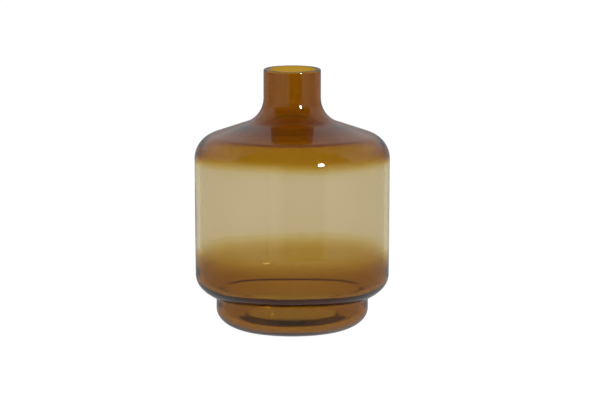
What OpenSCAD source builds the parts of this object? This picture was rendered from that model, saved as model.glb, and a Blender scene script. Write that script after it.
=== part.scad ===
// Mouth-blown glass vase: a pale glass vessel with a straight neck, a sloping shoulder, a near
// straight wall and a stepped foot. A darker amber glass is fused over its two ends, and each
// amber layer thins out to a soft edge on the wall.
// Millimetres, +Z up, origin at the centre of the ground base.

/* [Overall] */
// Height from the base to the top of the lip
height = 200; // [165:1:260]
// Diameter of the wall just under the shoulder
body_d = 148; // [120:1:190]
// Smooth steps along each curved stretch of the outline
curve_steps = 12; // [6:1:24]

/* [Neck] */
// Outer diameter of the straight neck
neck_d = 43.5; // [34:0.5:56]
// Height of the straight neck above its curved root
neck_h = 22; // [14:1:30]
// Thickness of the neck's wall
neck_wall = 3.5; // [2.5:0.1:5]
// Radius of the hollow curve between neck and shoulder
neck_root_r = 20; // [12:0.5:24]
// Radius of the fire-polished lip's edges
lip_r = 1.3; // [0.6:0.1:1.7]

/* [Shoulder] */
// Thickness of the wall where the shoulder's corner starts
shoulder_wall = 3.6; // [2.8:0.1:5]
// Thickness of the wall half way round that corner
corner_wall = 3.2; // [2.4:0.1:4.4]
// Thickness of the wall where the shoulder's straight slope starts, its thinnest part
slope_wall = 2; // [1.8:0.1:3.5]
// Thickness of the wall half way up the neck's root
root_wall = 3.8; // [2.6:0.1:4.6]
// Slope of the shoulder from horizontal, in degrees
shoulder_slope = 19.1; // [12:0.1:26]
// Radius of the corner between shoulder and wall
shoulder_r = 19.8; // [12:0.1:26]

/* [Wall] */
// Thickness of the wall from shoulder to heel
body_wall = 3.2; // [2.2:0.1:4.5]
// How much the wall's radius draws in from shoulder to heel
wall_taper = 0.7; // [0:0.1:3]

/* [Foot] */
// How far the foot's side stands in from the wall above it
foot_step = 16.5; // [12:0.5:20]
// Height of the crease between foot and heel
foot_h = 24.7; // [22:0.1:30]
// Height of the rounded heel, from the crease to the wall
heel_h = 19.6; // [14:0.1:26]
// Slope of the heel where it leaves the crease, in degrees
heel_slope = 26; // [15:1:32]
// Radius of the hollow crease
crease_r = 1.2; // [0.5:0.1:2]
// Height of the foot's rounded lower edge
foot_round_h = 18; // [12:0.5:20]
// Width of the foot's rounded lower edge
foot_round_w = 32; // [22:0.5:34]
// Thickness of the heel's wall, where the glass gathers
heel_wall = 3.8; // [3:0.1:6]
// Height over which the wall above the heel thins to its own thickness
heel_thinning = 12; // [8:0.5:20]
// Thickness of the glass at the crease
crease_wall = 4.5; // [3:0.1:6]
// Thickness of the foot's side
foot_wall = 5.1; // [3:0.1:7]
// Thickness of the flat base
base_wall = 11.2; // [5:0.2:12]

/* [Amber layers] */
// Thickness of the upper layer on the shoulder
shoulder_amber = 0.85; // [0.5:0.05:1.3]
// Thickness of the upper layer on the neck
neck_amber = 0.7; // [0.3:0.05:1.2]
// Thickness of the lower layer just above the heel, where it is thickest
heel_amber = 0.6; // [0.5:0.05:1.2]
// Thickness of the lower layer on the foot
foot_amber = 0.6; // [0.2:0.05:1]
// Distance of the upper layer's edge below the top of the straight wall
upper_edge = 2.5; // [1:0.5:20]
// Height over which the upper layer thins out to its edge
upper_fade = 10.5; // [6:0.5:20]
// Height of the lower layer's edge above the heel
lower_edge = 20; // [12:0.5:26]
// Height over which the lower layer thins out to its edge
lower_fade = 15; // [8:0.5:18]
// Height over which the lower layer thins towards the foot
foot_fade = 11.5; // [8:0.5:16]
// Thickness left at a layer's edge
amber_feather = 0.1; // [0.08:0.01:0.2]
// Height at which the lower layer stops above the ground base
amber_lift = 0.6; // [0.3:0.1:1]

/* [Hidden] */
$fn = 96;

body_r = body_d / 2;
heel_r = body_r - wall_taper;
neck_r = neck_d / 2;
foot_r = body_r - foot_step;
base_r = foot_r - foot_round_w;

// Fullness of the two free-form corners: 0 cuts straight across, 1 fills the corner out
heel_fullness = 0.71;
foot_fullness = 0.585;

neck_z = height - neck_h;
heel_z = foot_h + heel_h;
gather_z = foot_h + 0.8 * heel_h;
// The shoulder's straight slope touches the neck root and the shoulder corner, which sets this
shoulder_z = (sin(shoulder_slope) * (neck_r + neck_root_r - body_r + shoulder_r)
    + cos(shoulder_slope) * neck_z - neck_root_r - shoulder_r) / cos(shoulder_slope);
slope_z = shoulder_z + shoulder_r * cos(shoulder_slope);
upper_edge_z = shoulder_z - upper_edge;
lower_edge_z = heel_z + lower_edge;

// Points on an arc about c from angle a0 to a1
function arc(c, r, a0, a1) =
    [for (i = [0:curve_steps]) let (a = a0 + (a1 - a0) * i / curve_steps) c + r * [cos(a), sin(a)]];

// Cubic curve from p0 to p1 that leaves and arrives along the lines to the corner point
function rounded_corner(p0, corner, p1, fullness) =
    let (h0 = p0 + fullness * (corner - p0), h1 = p1 + fullness * (corner - p1))
    [for (i = [0:curve_steps]) let (t = i / curve_steps, s = 1 - t)
        s * s * s * p0 + 3 * s * s * t * h0 + 3 * s * t * t * h1 + t * t * t * p1];

// Points spread evenly along a straight stretch, without its two ends
function stretch(p0, p1, count) = [for (i = [1:count]) p0 + (p1 - p0) * i / (count + 1)];

function unit(v) = v / norm(v);
// Point of the tapered wall at height z
function wall_point(z) =
    [heel_r + (body_r - heel_r) * (z - heel_z) / (shoulder_z - heel_z), z];
// Direction into the glass at point i of an outline that runs up the outside
function inward(path, i) =
    let (a = path[max(i - 1, 0)], b = path[min(i + 1, len(path) - 1)], d = unit(b - a))
    [-d[1], d[0]];
function reversed(path) = [for (i = [len(path) - 1:-1:0]) path[i]];
// A path without its first point, which the path before it already ends on
function onward(path) = [for (i = [1:len(path) - 1]) path[i]];

// Outer outline, from the edge of the flat base up to the start of the lip. Each layer of amber
// ends on one of its points.
crease_centre = [foot_r + crease_r, foot_h];
crease_top = crease_centre + crease_r * [-sin(heel_slope), cos(heel_slope)];
heel_corner = [heel_r, crease_top[1] + (heel_r - crease_top[0]) * tan(heel_slope)];
outline = concat(
    reversed(rounded_corner([foot_r, foot_round_h], [foot_r, 0], [base_r, 0], foot_fullness)),
    arc(crease_centre, crease_r, 180, 90 + heel_slope),
    onward(rounded_corner(crease_top, heel_corner, [heel_r, heel_z], heel_fullness)),
    stretch(wall_point(heel_z), wall_point(lower_edge_z), curve_steps),
    [wall_point(lower_edge_z)],
    stretch(wall_point(lower_edge_z), wall_point(upper_edge_z), 2 * curve_steps),
    [wall_point(upper_edge_z)],
    stretch(wall_point(upper_edge_z), wall_point(shoulder_z), curve_steps),
    arc([body_r - shoulder_r, shoulder_z], shoulder_r, 0, 90 - shoulder_slope),
    arc([neck_r + neck_root_r, neck_z], neck_root_r, 270 - shoulder_slope, 180),
    [[neck_r, height - lip_r]]
);
last = len(outline) - 1;

// Smooth step from 0 to 1 while x goes from 0 to width
function fade_in(x, width) = let (t = min(max(x / width, 0), 1)) t * t * (3 - 2 * t);

// Thickness of the whole wall at a few heights on the outside
wall_stops = [
    [0, base_wall],
    [foot_round_h / 6, foot_wall],
    [foot_round_h, foot_wall],
    [foot_h, crease_wall],
    [gather_z, heel_wall],
    [gather_z + heel_thinning, body_wall],
    [shoulder_z - shoulder_r, body_wall],
    [shoulder_z, shoulder_wall],
    [(shoulder_z + slope_z) / 2, corner_wall],
    [slope_z, slope_wall],
    [neck_z - neck_root_r / 2, root_wall],
    [neck_z, neck_wall]
];
// Thickness at height z, which goes from each stop to the next by a smooth step
function wall_at(z, i = 1) = i == len(wall_stops) ? wall_stops[0][1]
    : let (a = wall_stops[i - 1], b = wall_stops[i])
        (b[1] - a[1]) * fade_in(z - a[0], b[0] - a[0]) + wall_at(z, i + 1);

// Thickness of each amber layer by height on the outside
function upper_amber_at(z) = amber_feather
    + (shoulder_amber - amber_feather) * fade_in(z - upper_edge_z, upper_fade)
    + (neck_amber - shoulder_amber) * fade_in(z - neck_z + neck_root_r, neck_root_r);
function lower_amber_at(z) = amber_feather
    + (heel_amber - amber_feather) * fade_in(lower_edge_z - z, lower_fade)
    + (foot_amber - heel_amber) * fade_in(lower_edge_z - lower_fade - z, foot_fade);
function amber_at(z) = z > (lower_edge_z + upper_edge_z) / 2 ? upper_amber_at(z) : lower_amber_at(z);

// Outline of one stretch of the outside, moved into the glass by the amber layer's thickness
function under_amber(from, to) =
    [for (i = [from:to]) outline[i] + amber_at(outline[i][1]) * inward(outline, i)];
function first_above(z, i = 0) = outline[i][1] >= z ? i : first_above(z, i + 1);

lower_first = first_above(amber_lift);
lower_last = first_above(lower_edge_z);
upper_first = first_above(upper_edge_z);

// Inside of the vessel: the outline moved in by the wall's thickness up to the neck's true bore
bore_r = neck_r - neck_wall;
inside = concat(
    [for (i = [0:last - 2]) outline[i] + wall_at(outline[i][1]) * inward(outline, i)],
    [[bore_r, neck_z], [bore_r, height - lip_r]]
);

// Half section of one amber layer, turned about the axis
module amber_layer(from, to) {
    rotate_extrude()
        polygon(concat([for (i = [from:to]) outline[i]], reversed(under_amber(from, to))));
}

// The whole vessel, which stands on its ground base and holds the water
module pale_glass_body() {
    color("#cdbf8e")
        rotate_extrude()
            polygon(concat(
                [[0, 0]],
                [for (i = [0:lower_first]) outline[i]],
                under_amber(lower_first, lower_last),
                [for (i = [lower_last:upper_first]) outline[i]],
                under_amber(upper_first, last),
                [[neck_r, height - lip_r]],
                arc([neck_r - lip_r, height - lip_r], lip_r, 0, 90),
                arc([bore_r + lip_r, height - lip_r], lip_r, 90, 180),
                reversed(inside),
                [[0, base_wall]]
            ));
}

// Amber glass over the neck and the shoulder
module upper_amber_layer() {
    color("#8a5a1c")
        amber_layer(upper_first, last);
}

// Amber glass over the foot, the heel and the lower wall
module lower_amber_layer() {
    color("#9a6a26")
        amber_layer(lower_first, lower_last);
}

pale_glass_body();
upper_amber_layer();
lower_amber_layer();
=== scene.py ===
"""A mouth-blown glass bud vase: a pale vessel with amber glass fused over its neck and its foot."""

import logging
import math
from dataclasses import dataclass
from enum import Enum

import bpy
import numpy as np
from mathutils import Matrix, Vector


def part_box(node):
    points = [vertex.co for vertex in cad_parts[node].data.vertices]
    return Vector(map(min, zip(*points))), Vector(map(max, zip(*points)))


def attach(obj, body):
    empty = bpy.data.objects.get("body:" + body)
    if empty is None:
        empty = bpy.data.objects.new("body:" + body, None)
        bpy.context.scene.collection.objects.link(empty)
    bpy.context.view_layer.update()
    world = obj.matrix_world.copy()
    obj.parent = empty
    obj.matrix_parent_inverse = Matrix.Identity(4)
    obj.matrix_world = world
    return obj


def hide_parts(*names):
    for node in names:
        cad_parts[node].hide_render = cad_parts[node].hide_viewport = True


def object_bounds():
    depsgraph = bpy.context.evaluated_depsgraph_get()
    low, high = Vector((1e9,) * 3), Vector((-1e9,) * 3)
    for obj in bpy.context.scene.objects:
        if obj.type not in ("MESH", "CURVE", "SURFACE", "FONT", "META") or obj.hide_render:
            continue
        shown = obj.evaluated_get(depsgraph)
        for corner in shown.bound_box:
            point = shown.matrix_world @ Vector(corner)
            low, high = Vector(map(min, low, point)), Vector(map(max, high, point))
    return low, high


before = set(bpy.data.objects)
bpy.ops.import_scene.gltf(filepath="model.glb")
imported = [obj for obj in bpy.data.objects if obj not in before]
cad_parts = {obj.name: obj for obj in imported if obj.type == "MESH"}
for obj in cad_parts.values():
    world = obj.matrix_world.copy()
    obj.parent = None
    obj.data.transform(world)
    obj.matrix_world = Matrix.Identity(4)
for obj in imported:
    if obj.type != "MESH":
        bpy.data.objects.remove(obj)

CAD_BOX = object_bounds()
MM = 0.001
LOG = logging.getLogger("vase")

# The Mix node has inputs and outputs for numbers, vectors and colours under the same names, so
# those for colours are known by their places
MIX_FACTOR, MIX_LOW, MIX_HIGH, MIX_RESULT = 0, 6, 7, 2


class Edge(Enum):
    """Which end of an amber layer thins out to a soft edge."""

    LOWER = "lower"
    UPPER = "upper"


class Value:
    """A number in a node tree that takes part in plain Python sums."""

    def __init__(self, tree: bpy.types.NodeTree, socket: bpy.types.NodeSocket) -> None:
        """Keeps the socket that holds the number, and its tree."""
        self.tree = tree
        self.socket = socket

    def maths(self, operation: str, *terms: "Value | float") -> "Value":
        """Adds one Math node.

        Args:
            operation: the node's operation.
            terms: its inputs in order, numbers or values.

        Returns:
            The node's result.
        """
        node = self.tree.nodes.new("ShaderNodeMath")
        node.operation = operation
        for slot, term in zip(node.inputs, terms):
            if isinstance(term, Value):
                self.tree.links.new(term.socket, slot)
            else:
                slot.default_value = term
        return Value(self.tree, node.outputs[0])

    def __add__(self, other: "Value | float") -> "Value":
        """Self plus other."""
        return self.maths("ADD", self, other)

    __radd__ = __add__

    def __sub__(self, other: "Value | float") -> "Value":
        """Self minus other."""
        return self.maths("SUBTRACT", self, other)

    def __rsub__(self, other: float) -> "Value":
        """Other minus self."""
        return self.maths("SUBTRACT", other, self)

    def __mul__(self, other: "Value | float") -> "Value":
        """Self times other."""
        return self.maths("MULTIPLY", self, other)

    __rmul__ = __mul__

    def __truediv__(self, other: "Value | float") -> "Value":
        """Self over other."""
        return self.maths("DIVIDE", self, other)

    def size(self) -> "Value":
        """Self without its sign."""
        return self.maths("ABSOLUTE", self)

    def clamped(self) -> "Value":
        """Self held between 0 and 1."""
        return self.maths("MINIMUM", self.maths("MAXIMUM", self, 0.0), 1.0)


@dataclass
class NodeBench:
    """A node tree under construction."""

    tree: bpy.types.NodeTree

    def node(self, kind: str, settings: dict | None = None, **inputs: object) -> bpy.types.Node:
        """Adds any node.

        Args:
            kind: the node's type.
            settings: attributes that are set before its sockets.
            inputs: socket names, with _ for a space, and the value or link of each.

        Returns:
            The new node.
        """
        made = self.tree.nodes.new(kind)
        for name, value in (settings or {}).items():
            setattr(made, name, value)
        for name, value in inputs.items():
            self.feed(made.inputs[name.replace("_", " ")], value)
        return made

    def value(self, node: bpy.types.Node, output: str | int = 0) -> Value:
        """One output of a node as a value."""
        return Value(self.tree, node.outputs[output])

    def feed(self, socket: bpy.types.NodeSocket, value: object) -> None:
        """Links a value or a socket to an input, or sets the input's own value.

        Args:
            socket: the input.
            value: what goes into it.
        """
        if isinstance(value, Value):
            self.tree.links.new(value.socket, socket)
        elif isinstance(value, bpy.types.NodeSocket):
            self.tree.links.new(value, socket)
        else:
            socket.default_value = value

    def mix(self, factor: Value, low: object, high: object) -> bpy.types.NodeSocket:
        """Blends two colours.

        Args:
            factor: 0 gives low, and 1 gives high.
            low: a colour, or a socket that carries one.
            high: a colour, or a socket that carries one.

        Returns:
            The socket of the blended colour.
        """
        made = self.node("ShaderNodeMix", {"data_type": "RGBA"})
        self.feed(made.inputs[MIX_FACTOR], factor)
        self.feed(made.inputs[MIX_LOW], low)
        self.feed(made.inputs[MIX_HIGH], high)
        return made.outputs[MIX_RESULT]


@dataclass(frozen=True)
class Finish:
    """A clear glass with its own colour through its thickness.

    Absorption is per metre for red, green and blue: light that has crossed d metres of the glass
    keeps exp(-absorption * d) of itself. The surface colour is that of the middle of the vase,
    and the end colour that of its neck and its foot.
    """

    name: str
    absorption: tuple[float, float, float]
    index: float
    surface: tuple[float, float, float]
    end_surface: tuple[float, float, float]
    streaks_per_metre: float = 60.0
    streak_stretch: float = 0.25
    streak_depth: float = 0.5
    streak_detail: float = 3.0
    fade: float = 12 * MM

    def material(self, low_end: float, high_end: float) -> bpy.types.Material:
        """Makes the material.

        The surface colour runs from the middle colour to the end colour at both ends:
        share = (|z - middle| - half) / fade + 1 / 2 + depth * (streak - 1 / 2), held between 0
        and 1, where half is half the distance between the ends. The streaks are fine noise
        drawn out along the vase's height.

        Args:
            low_end: height where the colour is half way to the lower end colour, in metres.
            high_end: height where it is half way to the upper end colour.

        Returns:
            The material.
        """
        made = bpy.data.materials.new(self.name)
        made.use_nodes = True
        bench = NodeBench(made.node_tree)
        bench.tree.nodes.clear()
        place = bench.node("ShaderNodeTexCoord").outputs["Object"]
        height = bench.value(bench.node("ShaderNodeSeparateXYZ", Vector=place), "Z")
        stretch = (1.0, 1.0, self.streak_stretch)
        drawn_out = bench.node("ShaderNodeMapping", Vector=place, Scale=stretch)
        noise = bench.node(
            "ShaderNodeTexNoise",
            Vector=drawn_out.outputs[0],
            Scale=self.streaks_per_metre,
            Detail=self.streak_detail,
        )
        streak = bench.value(noise)
        middle, half = (low_end + high_end) / 2, (high_end - low_end) / 2
        share = ((height - middle).size() - half) / self.fade + 0.5
        share = (share + self.streak_depth * (streak - 0.5)).clamped()
        density = max(self.absorption)
        kept = tuple(1.0 - a / density for a in self.absorption)
        glass = bench.node(
            "ShaderNodeBsdfPrincipled",
            Base_Color=bench.mix(share, (*self.surface, 1.0), (*self.end_surface, 1.0)),
            Roughness=0.0,
            IOR=self.index,
            Transmission_Weight=1.0,
        )
        body = bench.node("ShaderNodeVolumeAbsorption", Color=(*kept, 1.0), Density=density)
        bench.node(
            "ShaderNodeOutputMaterial", Surface=glass.outputs[0], Volume=body.outputs[0]
        )
        return made


AMBER_SURFACE = (0.98, 0.95, 0.85)
PALE_GLASS = Finish(
    name="pale_blown_glass",
    absorption=(20.0, 26.0, 60.0),
    index=1.5,
    surface=(0.75, 0.685, 0.57),
    end_surface=(0.71, 0.63, 0.42),
)
UPPER_AMBER = Finish(
    name="upper_amber_glass",
    absorption=(525.0, 1060.0, 3400.0),
    index=1.0,
    surface=AMBER_SURFACE,
    end_surface=AMBER_SURFACE,
)
LOWER_AMBER = Finish(
    name="lower_amber_glass",
    absorption=(560.0, 1040.0, 3000.0),
    index=1.0,
    surface=AMBER_SURFACE,
    end_surface=AMBER_SURFACE,
)


def smooth(share: np.ndarray) -> np.ndarray:
    """The smooth step u^2 (3 - 2 u), where u is the share held between 0 and 1."""
    u = np.clip(share, 0.0, 1.0)
    return u**2 * (3 - 2 * u)


def arc(
    centre: tuple[float, float], radius: float, start: float, end: float, count: int
) -> np.ndarray:
    """Points on an arc: centre + radius * (cos a, sin a).

    Args:
        centre: the arc's centre, as radius and height.
        radius: its own radius.
        start: the first angle a, in degrees.
        end: the last angle.
        count: the number of points.

    Returns:
        The points, one row each.
    """
    a = np.radians(np.linspace(start, end, count))
    return np.stack([centre[0] + radius * np.cos(a), centre[1] + radius * np.sin(a)], axis=1)


def rounded_corner(
    first: tuple[float, float],
    corner: tuple[float, float],
    last: tuple[float, float],
    fullness: float,
    count: int,
) -> np.ndarray:
    """Points on the cubic curve whose two handles reach from its ends towards a corner.

    The curve is s^3 first + 3 s^2 t h0 + 3 s t^2 h1 + t^3 last, with s = 1 - t, and each handle
    h is its end moved towards the corner by the fullness.

    Args:
        first: the curve's start, as radius and height.
        corner: the corner.
        last: the curve's end.
        fullness: the share of the way to the corner that each handle takes.
        count: the number of points.

    Returns:
        The points, one row each.
    """
    p0, p1, p2 = (np.asarray(p, float) for p in (first, corner, last))
    h0, h1 = p0 + fullness * (p1 - p0), p2 + fullness * (p1 - p2)
    t = np.linspace(0.0, 1.0, count)[:, None]
    s = 1.0 - t
    return s**3 * p0 + 3 * s**2 * t * h0 + 3 * s * t**2 * h1 + t**3 * p2


@dataclass(frozen=True)
class Thickness:
    """A thickness by height, given by stops of a height and a thickness, lowest first."""

    stops: tuple[tuple[float, float], ...]

    def at(self, height: np.ndarray) -> np.ndarray:
        """Thickness at any heights.

        It starts from the first stop's thickness, and each later stop adds its change by a
        smooth step from the stop before.

        Args:
            height: heights, in metres.

        Returns:
            The thickness at each.
        """
        total = np.full(np.shape(height), self.stops[0][1])
        for (z0, t0), (z1, t1) in zip(self.stops, self.stops[1:]):
            total = total + (t1 - t0) * smooth((height - z0) / (z1 - z0))
        return total


@dataclass
class Outline:
    """The vase's half section, in metres, as radius and height.

    The sizes repeat the CAD model's. The height and the wall's radius come from the bounds of
    model.glb. The last five values set how finely the outline is drawn.
    """

    height: float
    wall_r: float
    neck_r: float = 21.75 * MM
    neck_h: float = 22 * MM
    neck_wall: float = 3.5 * MM
    root_r: float = 20 * MM
    root_wall: float = 3.8 * MM
    lip_r: float = 1.3 * MM
    slope: float = 19.1
    slope_wall: float = 2 * MM
    corner_wall: float = 3.2 * MM
    shoulder_r: float = 19.8 * MM
    shoulder_wall: float = 3.6 * MM
    body_wall: float = 3.2 * MM
    taper: float = 0.7 * MM
    heel_thinning: float = 12 * MM
    heel_wall: float = 3.8 * MM
    heel_h: float = 19.6 * MM
    heel_slope: float = 26.0
    heel_fullness: float = 0.71
    gather_share: float = 0.8
    crease_r: float = 1.2 * MM
    crease_wall: float = 4.5 * MM
    foot_h: float = 24.7 * MM
    foot_step: float = 16.5 * MM
    foot_wall: float = 5.1 * MM
    foot_round_h: float = 18 * MM
    foot_round_w: float = 32 * MM
    foot_fullness: float = 0.585
    base_wall: float = 11.2 * MM
    base_share: float = 1 / 6
    curve_points: int = 160
    crease_points: int = 26
    step: float = 0.25 * MM
    samples: int = 4000
    bend_length: float = 30 * MM

    def __post_init__(self) -> None:
        """Works out the outline's own points, its inward directions and its length so far."""
        tilt = math.radians(self.slope)
        rise, run = math.sin(tilt), math.cos(tilt)
        self.neck_z = self.height - self.neck_h
        self.heel_z = self.foot_h + self.heel_h
        self.gather_z = self.foot_h + self.gather_share * self.heel_h
        self.shoulder_z = (
            rise * (self.neck_r + self.root_r - self.wall_r + self.shoulder_r)
            + run * self.neck_z
            - self.root_r
            - self.shoulder_r
        ) / run
        self.slope_z = self.shoulder_z + self.shoulder_r * run
        self.foot_r = self.wall_r - self.foot_step
        self.base_r = self.foot_r - self.foot_round_w
        self.bore_r = self.neck_r - self.neck_wall
        self.wall = Thickness(
            (
                (0.0, self.base_wall),
                (self.base_share * self.foot_round_h, self.foot_wall),
                (self.foot_round_h, self.foot_wall),
                (self.foot_h, self.crease_wall),
                (self.gather_z, self.heel_wall),
                (self.gather_z + self.heel_thinning, self.body_wall),
                (self.shoulder_z - self.shoulder_r, self.body_wall),
                (self.shoulder_z, self.shoulder_wall),
                ((self.shoulder_z + self.slope_z) / 2, self.corner_wall),
                (self.slope_z, self.slope_wall),
                (self.neck_z - self.root_r / 2, self.root_wall),
                (self.neck_z, self.neck_wall),
            )
        )
        self.points = self._filled(self._corners())
        steps = np.gradient(self.points, axis=0)
        steps /= np.linalg.norm(steps, axis=1)[:, None]
        self.inward = np.stack([-steps[:, 1], steps[:, 0]], axis=1)
        gaps = np.linalg.norm(np.diff(self.points, axis=0), axis=1)
        self.length = np.concatenate([[0.0], np.cumsum(gaps)])

    def _corners(self) -> np.ndarray:
        """The outside from the edge of the base up to the lip, with points only on its curves."""
        heel_r = self.wall_r - self.taper
        tilt = math.radians(self.heel_slope)
        crease = (self.foot_r + self.crease_r, self.foot_h)
        crease_top = (
            crease[0] - self.crease_r * math.sin(tilt),
            crease[1] + self.crease_r * math.cos(tilt),
        )
        heel_corner = (heel_r, crease_top[1] + (heel_r - crease_top[0]) * math.tan(tilt))
        heel_top, foot_top = (heel_r, self.heel_z), (self.foot_r, self.foot_round_h)
        shoulder = (self.wall_r - self.shoulder_r, self.shoulder_z)
        root = (self.neck_r + self.root_r, self.neck_z)
        edge, foot_corner = (self.base_r, 0.0), (self.foot_r, 0.0)
        n = self.curve_points
        return np.concatenate(
            [
                rounded_corner(edge, foot_corner, foot_top, self.foot_fullness, n),
                arc(crease, self.crease_r, 180, 90 + self.heel_slope, self.crease_points),
                rounded_corner(crease_top, heel_corner, heel_top, self.heel_fullness, n)[1:],
                arc(shoulder, self.shoulder_r, 0, 90 - self.slope, n),
                arc(root, self.root_r, 270 - self.slope, 180, n),
                np.array([[self.neck_r, self.height - self.lip_r]]),
            ]
        )

    def _filled(self, points: np.ndarray) -> np.ndarray:
        """Fills in long straight stretches.

        Args:
            points: the outline's own points.

        Returns:
            The same outline with no two points more than a step apart.
        """
        gaps = np.linalg.norm(np.diff(points, axis=0), axis=1)
        counts = np.maximum(1, np.ceil(gaps / self.step).astype(int))
        place = np.repeat(np.arange(len(gaps)), counts)
        first = np.repeat(np.cumsum(counts) - counts, counts)
        part = (np.arange(counts.sum()) - first) / np.repeat(counts, counts)
        filled = points[place] + part[:, None] * (points[place + 1] - points[place])
        return np.concatenate([filled, points[-1:]])

    def at(self, length: np.ndarray) -> tuple[np.ndarray, np.ndarray]:
        """The outline at given lengths along it, by straight interpolation.

        Args:
            length: lengths from the edge of the base.

        Returns:
            The points, and the unit directions into the glass.
        """
        point, inward = (
            np.stack([np.interp(length, self.length, values[:, k]) for k in (0, 1)], axis=-1)
            for values in (self.points, self.inward)
        )
        return point, inward / np.linalg.norm(inward, axis=-1, keepdims=True)

    def length_at(self, z: float) -> float:
        """Length along the outline where it passes height z."""
        return float(np.interp(z, self.points[:, 1], self.length))

    def spaced(self, start: float, end: float, count: int) -> np.ndarray:
        """Lengths along the outline that lie closer together where it bends.

        Each step takes the same share of length / bend_length plus turning in radians.

        Args:
            start: the first length.
            end: the last length.
            count: the number of lengths.

        Returns:
            The lengths.
        """
        dense = np.linspace(start, end, self.samples)
        _, inward = self.at(dense)
        turning = np.linalg.norm(np.diff(inward, axis=0), axis=1)
        cost = np.cumsum(np.abs(np.diff(dense)) / self.bend_length + turning)
        cost = np.concatenate([[0.0], cost])
        return np.interp(np.linspace(0.0, cost[-1], count), cost, dense)


def turned(name: str, section: np.ndarray, angle: np.ndarray, loop: bool) -> bpy.types.Object:
    """Turns a half section about the axis: x = r cos a, y = r sin a, z = h.

    Args:
        name: the object's name.
        section: r and h on a grid, with a row for each point of the section and a column for
            each angle.
        angle: the columns' angles, which go once round.
        loop: True joins the last row to the first. False closes the first and the last row with
            one point each on the axis.

    Returns:
        The object, with smooth faces that point outwards.
    """
    rows, columns = section.shape[:2]
    radius, height = section[..., 0], section[..., 1]
    points = np.stack([radius * np.cos(angle), radius * np.sin(angle), height], axis=-1)
    points = points.reshape(-1, 3)
    row = np.arange(rows if loop else rows - 1)[:, None]
    ring = np.arange(columns)
    onward = (ring + 1) % columns
    low, high = row * columns, (row + 1) % rows * columns
    quads = np.stack([low + ring, low + onward, high + onward, high + ring], axis=-1)
    faces = quads.reshape(-1, 4).tolist()
    if not loop:
        poles = [[0.0, 0.0, height[0].mean()], [0.0, 0.0, height[-1].mean()]]
        top = (rows - 1) * columns
        pole = np.full(columns, len(points))
        faces += np.stack([onward, ring, pole], axis=1).tolist()
        faces += np.stack([top + ring, top + onward, pole + 1], axis=1).tolist()
        points = np.concatenate([points, poles])
    mesh = bpy.data.meshes.new(name)
    mesh.from_pydata(points.tolist(), [], faces)
    mesh.polygons.foreach_set("use_smooth", np.ones(len(faces), bool))
    mesh.update()
    made = bpy.data.objects.new(name, mesh)
    bpy.context.collection.objects.link(made)
    return made


@dataclass(frozen=True)
class Ripple:
    """The slight unevenness of blown glass: a sum of a few slow waves round and up the vase."""

    seed: int
    rise: float = 60 * MM
    around: tuple[int, ...] = (2, 3, 5, 7, 11)

    def at(self, angle: np.ndarray, height: np.ndarray | float) -> np.ndarray:
        """The sum of cos(k a + turn h / rise + phase) / k, scaled to stay within 1.

        Args:
            angle: angles round the axis.
            height: heights, in metres.

        Returns:
            The waves' sum at each.
        """
        draw = np.random.default_rng(self.seed)
        total = 0.0
        for k in self.around:
            phase, turn = draw.uniform(0, 2 * math.pi), draw.uniform(-1, 1) * math.pi
            total = total + np.cos(k * angle + turn * height / self.rise + phase) / k
        return total / sum(1 / k for k in self.around)


@dataclass
class Vessel:
    """The pale glass body: outside, lip, inside and both sides of the base."""

    outline: Outline
    columns: int = 208
    outer_rows: int = 190
    inner_rows: int = 175
    lip_rows: int = 12
    flat_rows: int = 12
    ripple: float = 0.24 * MM
    waves: Ripple = Ripple(seed=11)

    def build(self) -> bpy.types.Object:
        """Makes the closed vessel.

        The section runs out under the base, up the outside, over the lip, down the inside and in
        over the floor. The inside is the outside moved in by the wall, and it ripples a little:
        r falls by ripple * (1 + waves) / 2, less and less towards the bore and the floor.

        Returns:
            The vessel.
        """
        o, n = self.outline, self.flat_rows
        angle = np.linspace(0, 2 * math.pi, self.columns, endpoint=False)
        outer, _ = o.at(o.spaced(0.0, o.length[-1], self.outer_rows))
        lip_z = o.height - o.lip_r
        lip_out = arc((o.neck_r - o.lip_r, lip_z), o.lip_r, 0, 90, self.lip_rows)[1:]
        lip_in = arc((o.bore_r + o.lip_r, lip_z), o.lip_r, 90, 180, self.lip_rows)
        down = o.spaced(0.0, o.length_at(o.neck_z), self.inner_rows)[::-1]
        point, inward = o.at(down)
        inside = point + o.wall.at(point[:, 1])[:, None] * inward
        floor_r, floor_z = inside[-1]
        part = np.linspace(0, 1, n + 2)[1:-1]
        bore = np.stack([np.full(n, o.bore_r), lip_z + part * (o.neck_z - lip_z)], axis=1)
        under = np.stack([part * o.base_r, np.zeros(n)], axis=1)
        floor = np.stack([(1 - part) * floor_r, np.full(n, floor_z)], axis=1)
        section = np.concatenate([under, outer, lip_out, lip_in, bore, inside, floor])
        section = np.repeat(section[:, None], self.columns, axis=1)
        rippled = section[-len(inside) - n : -n]
        radius, height = rippled[..., 0], rippled[..., 1]
        share = smooth((o.neck_z - height) / o.root_r) * smooth((radius - floor_r) / o.root_r)
        rippled[..., 0] -= self.ripple * (1 + self.waves.at(angle, height)) / 2 * share
        return turned("pale_vessel", section, angle, loop=False)


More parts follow.
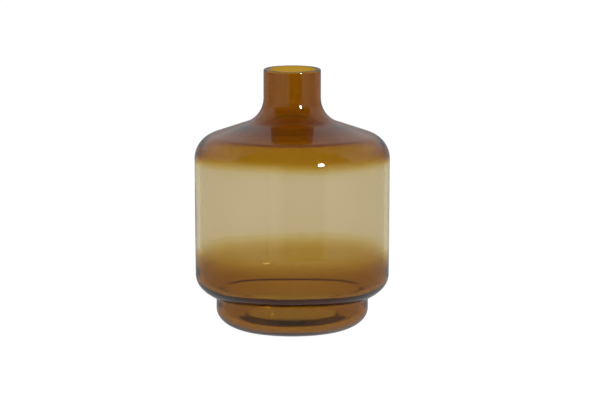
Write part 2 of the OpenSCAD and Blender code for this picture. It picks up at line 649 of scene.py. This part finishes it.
@dataclass
class AmberLayer:
    """One layer of amber glass in the skin of the vessel, which thins out to a soft edge."""

    outline: Outline
    name: str
    edge: Edge
    thickness: Thickness
    waves: Ripple
    columns: int = 208
    rows: int = 150
    skin: float = 0.03 * MM
    wander: float = 1.6 * MM

    def build(self, low_z: float, high_z: float) -> bpy.types.Object:
        """Makes the closed layer.

        Its outer face lies a skin's thickness under the vessel's outside, and its inner face
        under that by its own thickness. Every point is moved along the outline by
        wander * waves * share, where share runs from 1 at the soft edge to 0 at the other end.

        Args:
            low_z: height of its lower end, in metres.
            high_z: height of its upper end.

        Returns:
            The layer.
        """
        o = self.outline
        angle = np.linspace(0, 2 * math.pi, self.columns, endpoint=False)
        level = o.spaced(o.length_at(low_z), o.length_at(high_z), self.rows)[:, None]
        share = (level - level[0]) / (level[-1] - level[0])
        if self.edge is Edge.LOWER:
            share = 1 - share
        depth = self.thickness.at(o.at(level)[0][..., 1])[..., None]
        point, inward = o.at(level + self.wander * self.waves.at(angle, 0.0) * share)
        outer, inner = point + self.skin * inward, point + (self.skin + depth) * inward
        return turned(self.name, np.concatenate([outer, inner[::-1]]), angle, loop=True)


@dataclass(frozen=True)
class Panel:
    """A lit part of the room, with soft sides and a soft top.

    Its sides are angles in degrees round from the camera's side. Its top is the sine of an
    elevation.
    """

    first: float
    last: float
    top: float
    level: float
    soft: float = 9.0
    melt: float = 0.15

    def light(self, side: Value, up: Value) -> Value:
        """The panel's light by direction.

        It is level times a ramp up at the first side, a ramp down at the last side and a ramp
        down at the top, each held between 0 and 1.

        Args:
            side: the direction's angle round from the camera's side, in radians.
            up: the sine of its elevation.

        Returns:
            The light.
        """
        first, last, soft = (math.radians(v) for v in (self.first, self.last, self.soft))
        across = ((side - first) / soft + 0.5).clamped() * ((last - side) / soft + 0.5).clamped()
        return across * ((self.top - up) / self.melt + 0.5).clamped() * self.level


@dataclass
class Studio:
    """A white floor in a white room, a small lamp and the camera."""

    middle_z: float
    aim_side: float = 5.9 * MM
    aim_drop: float = 0.25 * MM
    distance: float = 5.0
    elevation: float = 8.2
    frame_width: float = 454.6 * MM
    sensor: float = 36.0
    floor_size: float = 12.0
    mirrored_size: float = 0.9
    floor_sides: int = 64
    floor_gap: float = 0.2 * MM
    floor_share: float = 0.14
    floor_light: float = 0.98
    floor_mirrored: float = 0.33
    floor_roughness: float = 0.9
    walls: float = 0.95
    ceiling: float = 0.5
    ceiling_from: float = 0.4
    ceiling_melt: float = 0.2
    dark: float = 0.03
    panels: tuple[Panel, ...] = (
        Panel(-75.0, -13.0, 0.30, 0.45),
        Panel(39.0, 75.0, 0.30, 0.45),
        Panel(-30.6, -28.2, 0.30, -0.30, soft=1.2),
        Panel(-190.0, -75.0, 0.20, -0.28),
        Panel(75.0, 190.0, 0.20, -0.28),
        Panel(-190.0, -75.0, 0.80, 0.60, melt=0.5),
        Panel(75.0, 190.0, 0.80, 0.60, melt=0.5),
    )
    lamp_width: float = 0.31
    lamp_height: float = 0.50
    lamp_power: float = 45.0
    lamp_side: float = 34.4
    lamp_rise: float = 17.2
    lamp_distance: float = 2.5
    bounces: int = 32
    glossy_bounces: int = 16

    def camera(self) -> None:
        """Puts the camera on the -Y side with a long lens, looking a few degrees down."""
        data = bpy.data.cameras.new("camera")
        data.sensor_width = self.sensor
        data.lens = self.sensor * self.distance / self.frame_width
        made = bpy.data.objects.new("camera", data)
        tilt = math.radians(self.elevation)
        far, level = self.distance, self.middle_z - self.aim_drop
        made.location = (self.aim_side, -far * math.cos(tilt), level + far * math.sin(tilt))
        made.rotation_euler = (math.pi / 2 - tilt, 0, 0)
        bpy.context.collection.objects.link(made)
        bpy.context.scene.camera = made

    def floor(self) -> None:
        """Makes the white floor.

        In mirror images only its round middle shows, and is dimmer than seen straight: the
        room's light takes the place of the rest.
        """
        paint = bpy.data.materials.new("white_floor")
        paint.use_nodes = True
        bench = NodeBench(paint.node_tree)
        shader = bench.tree.nodes["Principled BSDF"]
        shader.inputs["Base Color"].default_value = (*(self.floor_share,) * 3, 1.0)
        shader.inputs["Roughness"].default_value = self.floor_roughness
        shader.inputs["Specular IOR Level"].default_value = 0.0
        shader.inputs["Emission Color"].default_value = (1.0, 1.0, 1.0, 1.0)
        mirrored = bench.value(bench.node("ShaderNodeLightPath"), "Is Reflection Ray")
        glow = self.floor_light * (1.0 - (1.0 - self.floor_mirrored) * mirrored)
        bench.feed(shader.inputs["Emission Strength"], glow)
        n = self.floor_sides
        turn = np.linspace(0, 2 * math.pi, n, endpoint=False)
        ring = np.stack([np.cos(turn), np.sin(turn), np.zeros(n)], axis=1) / 2
        step = np.arange(n)
        onward = (step + 1) % n
        band = np.stack([step, onward, onward + n, step + n], axis=1)
        middle, whole = ring * self.mirrored_size, ring * self.floor_size
        for name, points, faces, in_mirrors in (
            ("floor", middle, [step.tolist()], True),
            ("floor_beyond", np.concatenate([whole, middle]), band.tolist(), False),
        ):
            mesh = bpy.data.meshes.new(name)
            mesh.from_pydata(points.tolist(), [], faces)
            mesh.materials.append(paint)
            made = bpy.data.objects.new(name, mesh)
            made.location.z = CAD_BOX[0][2] - self.floor_gap
            made.visible_glossy = in_mirrors
            bpy.context.collection.objects.link(made)

    def surround(self) -> bpy.types.World:
        """Makes the room.

        Seen straight it is white. Through glass it is nearly white, and dimmer overhead. In
        mirror images it is dark, with lit panels.

        Returns:
            The world.
        """
        world = bpy.data.worlds.new("surround")
        world.use_nodes = True
        bench = NodeBench(world.node_tree)
        bench.tree.nodes.clear()
        towards = bench.node("ShaderNodeTexCoord").outputs["Generated"]
        part = bench.node("ShaderNodeSeparateXYZ", Vector=towards)
        x, y, up = (bench.value(part, axis) for axis in "XYZ")
        side = x.maths("ARCTAN2", x, 0.0 - y)
        panels = sum((panel.light(side, up) for panel in self.panels), self.dark)
        overhead = ((up - self.ceiling_from) / self.ceiling_melt + 0.5).clamped()
        room = self.walls + (self.ceiling - self.walls) * overhead
        ray = bench.node("ShaderNodeLightPath")
        straight, mirrored = (bench.value(ray, f"Is {kind} Ray") for kind in ("Camera", "Reflection"))
        level = straight + (1.0 - straight) * (room + mirrored * (panels - room))
        light = bench.node("ShaderNodeBackground", Color=(1.0, 1.0, 1.0, 1.0), Strength=level)
        bench.node("ShaderNodeOutputWorld", Surface=light.outputs[0])
        return world

    def light(self) -> None:
        """Lights the set: the room, and a small lamp that gives the bright points."""
        scene = bpy.context.scene
        scene.world = self.surround()
        lamp = bpy.data.lights.new("small_lamp", "AREA")
        lamp.shape = "ELLIPSE"
        lamp.size, lamp.size_y = self.lamp_width, self.lamp_height
        lamp.energy = self.lamp_power
        made = bpy.data.objects.new("small_lamp", lamp)
        side, up = math.radians(self.lamp_side), math.radians(self.lamp_rise)
        level = self.lamp_distance * math.cos(up)
        made.location = (
            level * math.sin(side),
            -level * math.cos(side),
            self.middle_z - self.aim_drop + self.lamp_distance * math.sin(up),
        )
        made.rotation_euler = (math.pi / 2 - up, 0, side)
        bpy.context.collection.objects.link(made)
        scene.view_settings.view_transform = "Standard"
        scene.cycles.max_bounces = self.bounces
        scene.cycles.transmission_bounces = self.bounces
        scene.cycles.transparent_max_bounces = self.bounces
        scene.cycles.glossy_bounces = self.glossy_bounces


@dataclass
class Vase:
    """The vessel and its two amber layers, each in the place of its CAD node."""

    outline: Outline
    feather: float = 0.02 * MM
    shoulder_amber: float = 0.85 * MM
    neck_amber: float = 0.7 * MM
    heel_amber: float = 0.6 * MM
    foot_amber: float = 0.6 * MM
    upper_fade: float = 10.5 * MM
    lower_fade: float = 15 * MM
    foot_fade: float = 11.5 * MM

    def build(self) -> None:
        o = self.outline
        lowest, low_edge = (corner[2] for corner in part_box("lower_amber_layer"))
        high_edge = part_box("upper_amber_layer")[0][2]
        full_low = low_edge - self.lower_fade
        upper = Thickness(
            (
                (high_edge, self.feather),
                (high_edge + self.upper_fade, self.shoulder_amber),
                (o.neck_z - o.root_r, self.shoulder_amber),
                (o.neck_z, self.neck_amber),
            )
        )
        lower = Thickness(
            (
                (full_low - self.foot_fade, self.foot_amber),
                (full_low, self.heel_amber),
                (low_edge, self.feather),
            )
        )
        neck = AmberLayer(o, "upper_amber", Edge.LOWER, upper, Ripple(seed=16))
        foot = AmberLayer(o, "lower_amber", Edge.UPPER, lower, Ripple(seed=17))
        for piece, finish, node, slot in (
            (Vessel(o).build(), PALE_GLASS, "pale_glass_body", "pale_glass"),
            (
                neck.build(high_edge, o.height - o.lip_r),
                UPPER_AMBER,
                "upper_amber_layer",
                "upper_amber_glass",
            ),
            (
                foot.build(lowest, low_edge),
                LOWER_AMBER,
                "lower_amber_layer",
                "lower_amber_glass",
            ),
        ):
            piece.data.materials.append(finish.material(low_edge, high_edge))
            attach(piece, "root")
            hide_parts(node)
            LOG.info("%s: %d faces, stands for %s", piece.name, len(piece.data.polygons), node)


def main() -> None:
    """Builds the set and the vase."""
    logging.basicConfig(level=logging.INFO, format="%(name)s: %(message)s")
    low, high = CAD_BOX
    studio = Studio(middle_z=high[2] / 2)
    studio.camera()
    studio.floor()
    studio.light()
    Vase(Outline(height=high[2] - low[2], wall_r=(high[0] - low[0]) / 2)).build()


if __name__ == "__main__":
    main()
